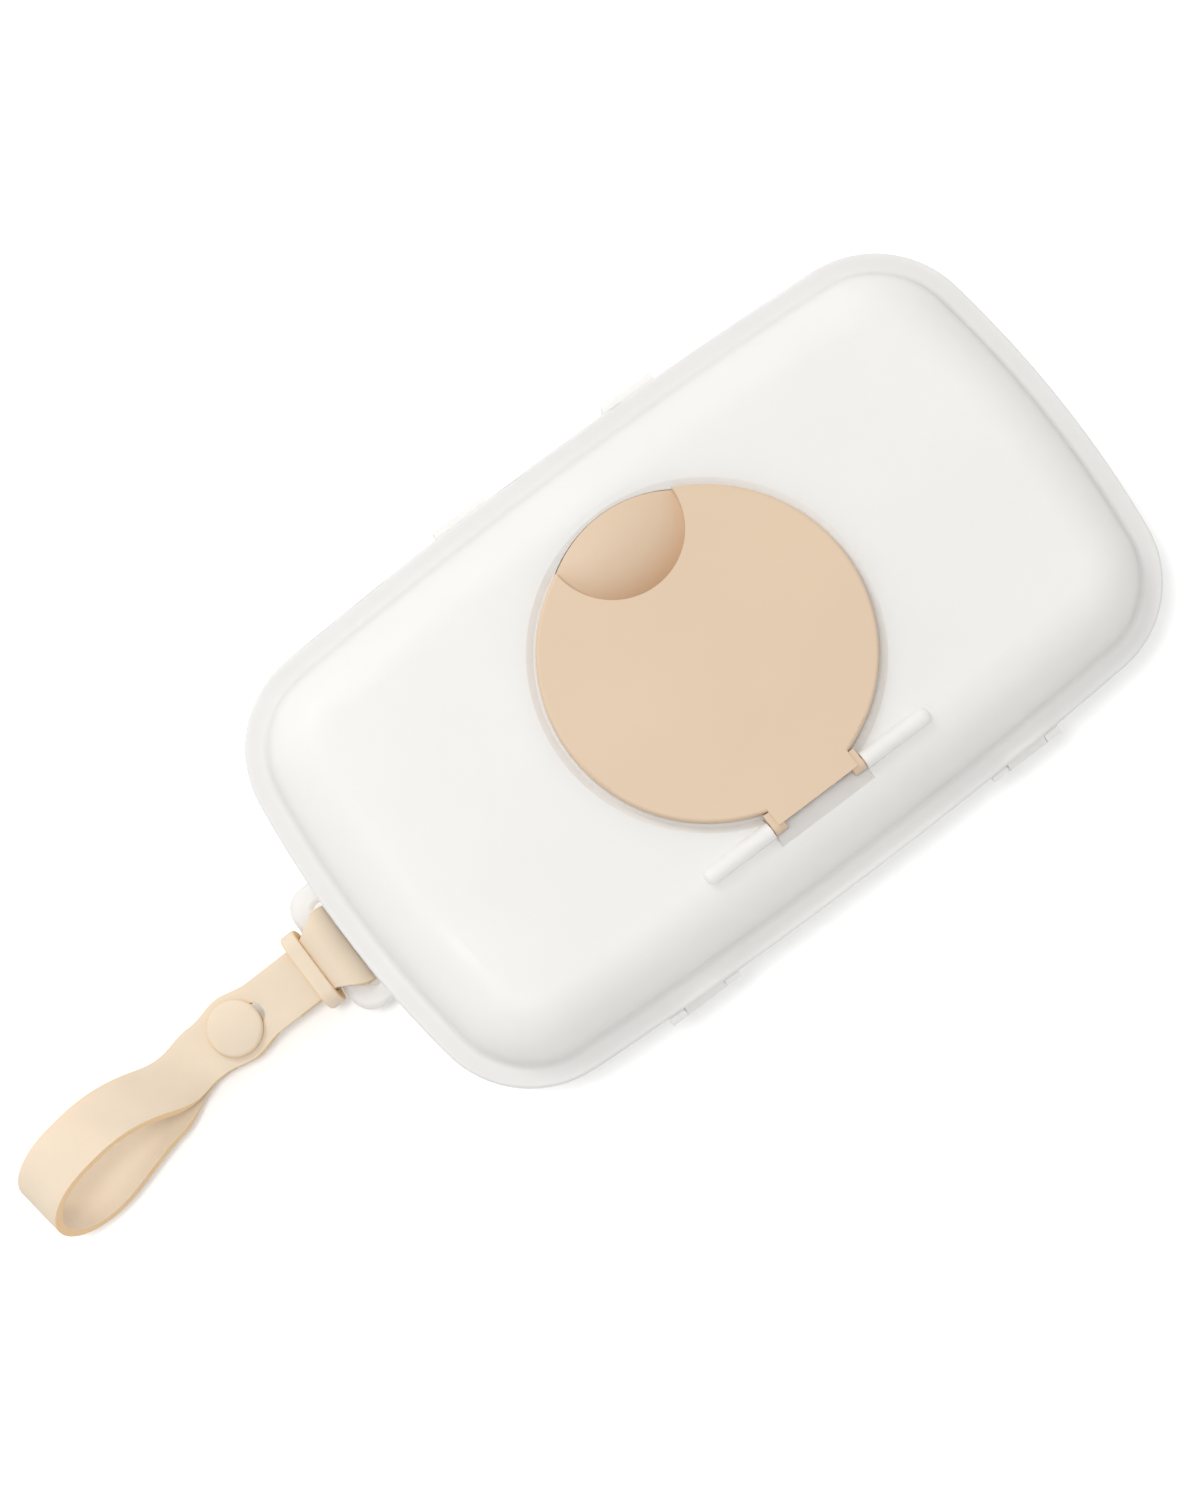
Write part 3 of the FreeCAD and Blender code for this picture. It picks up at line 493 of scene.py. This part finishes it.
def loop_stations(sizes):
    """Middle of the hand loop from the upper layer round its end to the lower layer, with its lean."""
    layer = (sizes.layer_gap + sizes.thickness) / 2
    start = strap_point(sizes.loop_start, layer)
    finish = strap_point(sizes.loop_start, -layer)
    low = sizes.loop_gap + sizes.width / 2 * math.sin(sizes.loop_roll)
    low += sizes.thickness / 2 * math.cos(sizes.loop_roll)
    radius = sizes.loop_height / 2
    end_x = BAR.x + sizes.loop_reach - sizes.thickness / 2 - radius
    ahead = Vector(LENGTHWAYS)
    crest = Vector((end_x, 0, low + sizes.loop_height))
    floor = Vector((end_x, 0, low))
    climb = [start, start + STRAP_ALONG * sizes.rise_start, crest - ahead * sizes.rise_end, crest]
    fall = [floor, floor - ahead * sizes.fall_start, finish + STRAP_ALONG * sizes.fall_end, finish]
    side_steps = 40
    end_steps = 24
    path = [cubic(climb, step / side_steps) for step in range(side_steps)]
    for step in range(end_steps):
        angle = math.pi * step / end_steps
        path.append(Vector((end_x + radius * math.sin(angle), 0, low + radius * (1 + math.cos(angle)))))
    path += [cubic(fall, step / side_steps) for step in range(side_steps + 1)]
    stations = []
    for point in path:
        reach = point.x - start.x
        lean = sizes.loop_roll * ease(reach / sizes.loop_roll_run)
        turn = sizes.loop_turn * ease(reach / sizes.loop_turn_run)
        rise = point.z - low
        aside = (sizes.loop_height / 2 - rise) * math.sin(lean)
        centre = Vector((
            start.x + reach * math.cos(turn) - aside * math.sin(turn),
            reach * math.sin(turn) + aside * math.cos(turn),
            low + rise * math.cos(lean),
        ))
        stations.append(Station(centre, sizes.width, lean, turn))
    return stations


def strap_stations(sizes):
    """The band's stations from its tail round the bar and the loop to its tip."""
    layer = (sizes.layer_gap + sizes.thickness) / 2

    def reaches(first, last):
        count = max(2, round(abs(last - first) / BAND_STEP))
        return [first + (last - first) * index / count for index in range(count)]

    def station(reach, rise):
        return Station(strap_point(reach, rise), band_width_at(sizes, reach))

    def straight(first, last, rise):
        return [station(reach, rise) for reach in reaches(first, last)]

    def closing(first, last, side):
        narrowing = layer - sizes.wrap_radius
        return [
            station(reach, side * (sizes.wrap_radius + narrowing * ease(reach / sizes.wrap_run)))
            for reach in reaches(first, last)
        ]

    stations = straight(sizes.tail_end, sizes.wrap_run, -layer)
    stations += closing(sizes.wrap_run, 0.0, -1)
    turns = 18
    for index in range(turns):
        angle = math.pi * index / turns
        stations.append(station(-sizes.wrap_radius * math.sin(angle), -sizes.wrap_radius * math.cos(angle)))
    stations += closing(0.0, sizes.wrap_run, 1)
    stations += straight(sizes.wrap_run, sizes.loop_start, layer)
    stations += loop_stations(sizes)
    tip = strap_point(sizes.free_tip, -layer)
    for centre, width, *_ in straight(sizes.loop_start - BAND_STEP, sizes.free_tip, -layer):
        stations.append(Station(centre, tip_width(sizes, width, (centre - tip).length)))
    stations.append(Station(tip, sizes.thickness))
    return stations


class WIPECASE_OT_shells(bpy.types.Operator):
    """Gives the lid, the base and the bracket their frosted finish"""

    bl_idname = "wipe_case.shells"
    bl_label = "Frosted Shells"

    def execute(self, context):
        colours = context.scene.wipe_case_colours
        finish_node("lid_shell", frosted_plastic("frosted_lid", colours.frosted, 0.26, 0.05))
        finish_node("base_shell", frosted_plastic("frosted_base", colours.frosted, 0.08, 0.05))
        finish_node("strap_bracket", frosted_plastic("clear_case", colours.clear, 0.35, 0.25))
        return {"FINISHED"}


class WIPECASE_OT_hinge_pins(bpy.types.Operator):
    """Gives the hinge pins their drawn steel"""

    bl_idname = "wipe_case.hinge_pins"
    bl_label = "Hinge Pins"

    def execute(self, context):
        steel = drawn_steel("hinge_steel", context.scene.wipe_case_colours.steel)
        finish_node("lid_hinge_pin_left", steel)
        finish_node("lid_hinge_pin_right", steel)
        return {"FINISHED"}


class WIPECASE_OT_flip_cap(bpy.types.Operator):
    """Gives the flip cap its satin beige"""

    bl_idname = "wipe_case.flip_cap"
    bl_label = "Flip Cap"

    def execute(self, context):
        finish_node("flip_cap", satin_plastic("beige_cap", context.scene.wipe_case_colours.cap))
        return {"FINISHED"}


class WIPECASE_OT_seals(bpy.types.Operator):
    """Models the soft seals of the rim and the cap: rings with a groove between two rounded lips"""

    bl_idname = "wipe_case.seals"
    bl_label = "Soft Seals"

    def execute(self, context):
        sizes = context.scene.wipe_case_seals
        colours = context.scene.wipe_case_colours
        white = colours.seal
        rubber = silicone_rubber("seal_silicone", white, white, white, UPWARDS, 0.9, 0.3)
        self.lip_ring("rim_seal", "base", 1, sizes.rim_lip, sizes, rubber)
        self.lip_ring("cap_seal", "cap", -1, sizes.cap_lip, sizes, rubber)
        return {"FINISHED"}

    def lip_ring(self, node, body, side, lip, sizes, rubber):
        """The node's ring with a groove in the face that seals, which looks up or down by its side."""
        ring = node_copy(node, node + "_visual")
        bpy.ops.object.mode_set(mode="EDIT")
        pick(ring, "FACE", lambda face: face.normal.z * side > FACING)
        bpy.ops.mesh.inset(thickness=lip)
        bpy.ops.transform.translate(value=(0, 0, -side * sizes.groove))
        bpy.ops.object.mode_set(mode="OBJECT")
        round_edges(ring, sizes.edge_round, 3)
        smooth(ring)
        dress(ring, rubber, body, "seal_silicone", node)


class WIPECASE_OT_strap_band(bpy.types.Operator):
    """Models the silicone band: a strip drawn out along its route, then thickened and rounded"""

    bl_idname = "wipe_case.strap_band"
    bl_label = "Strap Band"

    columns: IntProperty(name="Columns", description="Faces across the band", default=6, min=1)

    def execute(self, context):
        sizes = context.scene.wipe_case_strap
        stations = strap_stations(sizes)
        strip = self.draw_strip(stations)
        apply_modifier(strip, "SOLIDIFY", thickness=sizes.thickness, offset=0.0, use_even_offset=True)
        self.cut_button_hole(strip, sizes)
        round_edges(strip, sizes.edge_round, 3)
        smooth(strip)
        # Painted shade on the band's sides
        rubber = strap_rubber(context, "band_silicone", SIDEWAYS)
        dress(strip, rubber, "strap", "beige_silicone", "strap_band")
        return {"FINISHED"}

    def draw_strip(self, stations):
        """The band's middle surface: one edge across the band, extruded from station to station."""
        deselect()
        first = stations[0]
        bpy.ops.mesh.primitive_plane_add(size=first.width, location=first.centre)
        strip = active_piece("strap_band_visual")
        bpy.ops.object.transform_apply(location=True, rotation=False, scale=False)
        bpy.ops.object.mode_set(mode="EDIT")
        pick(strip, "VERT", lambda vertex: vertex.co.x > first.centre.x)
        bpy.ops.mesh.delete(type="VERT")
        bpy.ops.mesh.select_mode(type="EDGE")
        bpy.ops.mesh.select_all(action="SELECT")
        bpy.ops.transform.translate(value=(first.width / 2, 0, 0))
        bpy.ops.mesh.subdivide(number_cuts=self.columns - 1)
        for before, after in zip(stations, stations[1:]):
            bpy.ops.mesh.extrude_region_move(TRANSFORM_OT_translate={"value": after.centre - before.centre})
            self.turn_edge("Z", -before.turn, after.centre)
            self.turn_edge("X", after.lean - before.lean, after.centre)
            self.turn_edge("Z", after.turn, after.centre)
            stretch = after.width / before.width
            if abs(stretch - 1) > TINY:
                bpy.ops.transform.resize(value=(stretch,) * 3, center_override=after.centre)
        bpy.ops.mesh.select_all(action="SELECT")
        bpy.ops.mesh.normals_make_consistent(inside=False)
        bpy.ops.object.mode_set(mode="OBJECT")
        return strip

    def turn_edge(self, axis, angle, centre):
        """Turns the selected edge about its middle; without a window the operator turns the other way."""
        if abs(angle) > TINY:
            bpy.ops.transform.rotate(value=-angle, orient_axis=axis, center_override=centre)

    def cut_button_hole(self, strip, sizes):
        """The slotted hole through both layers, longer than the button on the side of the case."""
        deselect()
        depth = 8 * sizes.thickness
        bpy.ops.mesh.primitive_cylinder_add(vertices=48, radius=sizes.hole_radius, depth=depth)
        cutter = active_piece("hole_cutter")
        bpy.ops.object.mode_set(mode="EDIT")
        pick(cutter, "VERT", lambda vertex: vertex.co.x < -MERGE)
        slot = sizes.button_radius + sizes.hole_showing - sizes.hole_radius
        bpy.ops.transform.translate(value=(-slot, 0, 0))
        bpy.ops.object.mode_set(mode="OBJECT")
        settle(cutter, STRAP_TURN, strap_point(sizes.button_reach, 0))
        deselect()
        strip.select_set(True)
        apply_modifier(strip, "BOOLEAN", operation="DIFFERENCE", object=cutter, solver="EXACT")
        bpy.data.objects.remove(cutter)


class WIPECASE_OT_snap_button(bpy.types.Operator):
    """Models the button's domed head with its post, and the disc behind it"""

    bl_idname = "wipe_case.snap_button"
    bl_label = "Snap Button"

    def execute(self, context):
        sizes = context.scene.wipe_case_strap
        # Painted shade on the button's sides
        rubber = strap_rubber(context, "button_silicone", UPWARDS, 0.8, 0.1)
        seat = sizes.layer_gap / 2 + sizes.thickness
        self.head(sizes, seat, rubber)
        self.backing(sizes, seat, rubber)
        return {"FINISHED"}

    def head(self, sizes, seat, rubber):
        rim_drop = sizes.button_crown - math.sqrt(sizes.button_crown ** 2 - sizes.button_radius ** 2)
        edge = sizes.button_height - rim_drop
        deselect()
        bpy.ops.mesh.primitive_cylinder_add(
            vertices=SIDES, radius=sizes.button_radius, depth=edge, location=(0, 0, seat + edge / 2)
        )
        head = active_piece("snap_button_visual")
        bpy.ops.object.transform_apply(location=True, rotation=False, scale=False)
        bpy.ops.object.mode_set(mode="EDIT")
        pick(head, "FACE", lambda face: face.normal.z > FACING)
        self.crown(sizes.button_radius, sizes.button_crown, 7)
        pick(head, "FACE", lambda face: face.normal.z < -FACING)
        bpy.ops.mesh.inset(thickness=sizes.button_radius - sizes.post_radius)
        bpy.ops.mesh.extrude_region_move(
            TRANSFORM_OT_translate={"value": (0, 0, -2 * seat - sizes.backing_height / 2)}
        )
        bpy.ops.object.mode_set(mode="OBJECT")
        round_edges(head, sizes.button_round, 6)
        settle(head, STRAP_TURN, strap_point(sizes.button_reach, 0))
        smooth(head)
        dress(head, rubber, "strap", "beige_silicone", "snap_button")

    def crown(self, radius, crown, rings):
        """Insets the selected round face ring by ring so that it rises to a dome."""
        step = radius / (rings + 0.5)
        for ring in range(rings):
            outer = radius - step * ring
            inner = outer - step
            rise = math.sqrt(crown ** 2 - inner ** 2) - math.sqrt(crown ** 2 - outer ** 2)
            bpy.ops.mesh.inset(thickness=step, depth=rise)

    def backing(self, sizes, seat, rubber):
        deselect()
        bpy.ops.mesh.primitive_cylinder_add(
            vertices=SIDES, radius=sizes.backing_radius, depth=sizes.backing_height,
            location=(0, 0, -seat - sizes.backing_height / 2),
        )
        disc = active_piece("snap_backing_visual")
        bpy.ops.object.transform_apply(location=True, rotation=False, scale=False)
        bpy.ops.object.mode_set(mode="EDIT")
        pick(disc, "FACE", lambda face: face.normal.z < -FACING)
        bpy.ops.mesh.inset(thickness=sizes.backing_radius * 0.3)
        bpy.ops.mesh.inset(thickness=sizes.backing_height * 0.2, depth=-sizes.backing_height * 0.25)
        bpy.ops.object.mode_set(mode="OBJECT")
        round_edges(disc, sizes.backing_height / 4, 4, 40.0)
        settle(disc, STRAP_TURN, strap_point(sizes.button_reach, 0))
        smooth(disc)
        dress(disc, rubber, "strap", "beige_silicone", "snap_backing")


class WIPECASE_OT_strap_keeper(bpy.types.Operator):
    """Models the keeper: a block with rounded corners, hollowed to a ring and softened at its edges"""

    bl_idname = "wipe_case.strap_keeper"
    bl_label = "Strap Keeper"

    def execute(self, context):
        sizes = context.scene.wipe_case_strap
        half_width = sizes.keeper_room + sizes.keeper_wall
        half_height = sizes.keeper_rise + sizes.keeper_skin
        deselect()
        bpy.ops.mesh.primitive_cube_add(size=1)
        keeper = active_piece("strap_keeper_visual")
        keeper.scale = (sizes.keeper_length, 2 * half_width, 2 * half_height)
        bpy.ops.object.transform_apply(location=True, rotation=False, scale=True)
        bpy.ops.object.mode_set(mode="EDIT")
        vertices = keeper.data.vertices

        def lengthways(edge):
            first, last = (vertices[index].co for index in edge.vertices)
            return abs(first.x - last.x) > sizes.keeper_length / 2

        pick(keeper, "EDGE", lengthways)
        bpy.ops.mesh.bevel(offset=half_height * 0.8, segments=12, profile=0.5)
        pick(keeper, "FACE", lambda face: abs(face.normal.x) > FACING)
        bpy.ops.mesh.inset(thickness=sizes.keeper_skin, use_individual=True)
        inner = half_width - sizes.keeper_skin
        bpy.ops.transform.resize(value=(1, sizes.keeper_room / inner, 1), center_override=(0, 0, 0))
        bpy.ops.mesh.bridge_edge_loops()
        bpy.ops.mesh.select_all(action="SELECT")
        bpy.ops.mesh.normals_make_consistent(inside=False)
        bpy.ops.object.mode_set(mode="OBJECT")
        round_edges(keeper, sizes.keeper_round, 4)
        settle(keeper, STRAP_TURN, strap_point(sizes.keeper_centre, 0))
        smooth(keeper)
        # Painted shade on the keeper's ends
        rubber = strap_rubber(context, "keeper_silicone", LENGTHWAYS)
        dress(keeper, rubber, "keeper", "beige_silicone", "strap_keeper")
        return {"FINISHED"}


class WIPECASE_OT_stage(bpy.types.Operator):
    """Sets up the pale floor, the soft light and the camera"""

    bl_idname = "wipe_case.stage"
    bl_label = "Stage"

    def execute(self, context):
        settings = context.scene.wipe_case_stage
        context.scene.view_settings.view_transform = "Standard"
        self.floor(settings)
        self.world(context.scene, settings)
        self.soft_light("top_light", settings.top_power, settings.top_size, settings.top_place)
        self.soft_light("front_light", settings.front_power, settings.front_size, settings.front_place)
        self.camera(context.scene, settings)
        return {"FINISHED"}

    def when_seen(self, tree, lit, seen):
        """One value as it lights the case, another as the camera sees it, also through or in the plastic."""
        path = tree.nodes.new("ShaderNodeLightPath")
        total = path.outputs["Is Camera Ray"]
        for name in ("Is Glossy Ray", "Is Transmission Ray"):
            either = tree.nodes.new("ShaderNodeMath")
            either.operation = "MAXIMUM"
            tree.links.new(total, either.inputs[0])
            tree.links.new(path.outputs[name], either.inputs[1])
            total = either.outputs[0]
        return between(tree, total, lit, seen, 0.0, 1.0)

    def floor(self, settings):
        deselect()
        bpy.ops.mesh.primitive_plane_add(size=settings.floor_size, location=(0, 0, 0))
        floor = active_piece("floor")
        material = bpy.data.materials.new("pale_floor")
        material.use_nodes = True
        tree = material.node_tree
        tree.nodes.remove(tree.nodes["Principled BSDF"])
        paint = tree.nodes.new("ShaderNodeBsdfDiffuse")
        paleness = self.when_seen(tree, settings.floor_shade, settings.floor_white)
        tree.links.new(paleness, paint.inputs["Color"])
        tree.links.new(paint.outputs["BSDF"], tree.nodes["Material Output"].inputs["Surface"])
        floor.data.materials.append(material)

    def world(self, scene, settings):
        world = bpy.data.worlds.new("soft_room")
        scene.world = world
        world.use_nodes = True
        tree = world.node_tree
        background = tree.nodes["Background"]
        background.inputs["Color"].default_value = (1, 1, 1, 1)
        tree.links.new(self.when_seen(tree, settings.fill, 1.0), background.inputs["Strength"])

    def soft_light(self, name, power, size, place):
        """A round soft light that faces the case."""
        light = bpy.data.lights.new(name, "AREA")
        light.shape = "DISK"
        light.size = size
        light.energy = power
        lamp = bpy.data.objects.new(name, light)
        bpy.context.scene.collection.objects.link(lamp)
        lamp.location = place
        lamp.rotation_euler = (-lamp.location).to_track_quat("-Z", "Y").to_euler()

    def camera(self, scene, settings):
        data = bpy.data.cameras.new("camera")
        data.sensor_fit = "VERTICAL"
        data.sensor_height = 36.0
        data.lens = settings.lens
        data.clip_start = 0.01
        data.clip_end = 50.0
        camera = bpy.data.objects.new("camera", data)
        scene.collection.objects.link(camera)
        scene.camera = camera
        level = math.cos(settings.elevation)
        side, front = math.sin(settings.azimuth) * level, -math.cos(settings.azimuth) * level
        away = Vector((side, front, math.sin(settings.elevation)))
        target = Vector(settings.target)
        camera.location = target + away * settings.distance
        camera.rotation_euler = (-away).to_track_quat("-Z", "Y").to_euler()


GROUPS = {
    "wipe_case_strap": StrapSizes,
    "wipe_case_seals": SealSizes,
    "wipe_case_colours": CaseColours,
    "wipe_case_stage": StageSettings,
}
STEPS = (
    WIPECASE_OT_shells,
    WIPECASE_OT_hinge_pins,
    WIPECASE_OT_flip_cap,
    WIPECASE_OT_seals,
    WIPECASE_OT_strap_band,
    WIPECASE_OT_snap_button,
    WIPECASE_OT_strap_keeper,
    WIPECASE_OT_stage,
)


class WIPECASE_PT_panel(bpy.types.Panel):
    """Steps and settings of the wipe case"""

    bl_idname = "WIPECASE_PT_panel"
    bl_label = "Wipe Case"
    bl_space_type = "VIEW_3D"
    bl_region_type = "UI"
    bl_category = "Wipe Case"

    def draw(self, context):
        for step in STEPS:
            self.layout.operator(step.bl_idname)
        scene = context.scene
        for name in GROUPS:
            group = getattr(scene, name)
            box = self.layout.box()
            for key in group.bl_rna.properties.keys():
                if key not in {"rna_type", "name"}:
                    box.prop(group, key)


CLASSES = tuple(GROUPS.values()) + STEPS + (WIPECASE_PT_panel,)


def register():
    for item in CLASSES:
        bpy.utils.register_class(item)
    for name, group in GROUPS.items():
        setattr(bpy.types.Scene, name, PointerProperty(type=group))


def unregister():
    for name in GROUPS:
        delattr(bpy.types.Scene, name)
    for item in reversed(CLASSES):
        bpy.utils.unregister_class(item)


def main():
    register()
    bpy.ops.wipe_case.shells()
    bpy.ops.wipe_case.hinge_pins()
    bpy.ops.wipe_case.flip_cap()
    bpy.ops.wipe_case.seals()
    bpy.ops.wipe_case.strap_band()
    bpy.ops.wipe_case.snap_button()
    bpy.ops.wipe_case.strap_keeper()
    bpy.ops.wipe_case.stage()


if __name__ == "__main__":
    main()
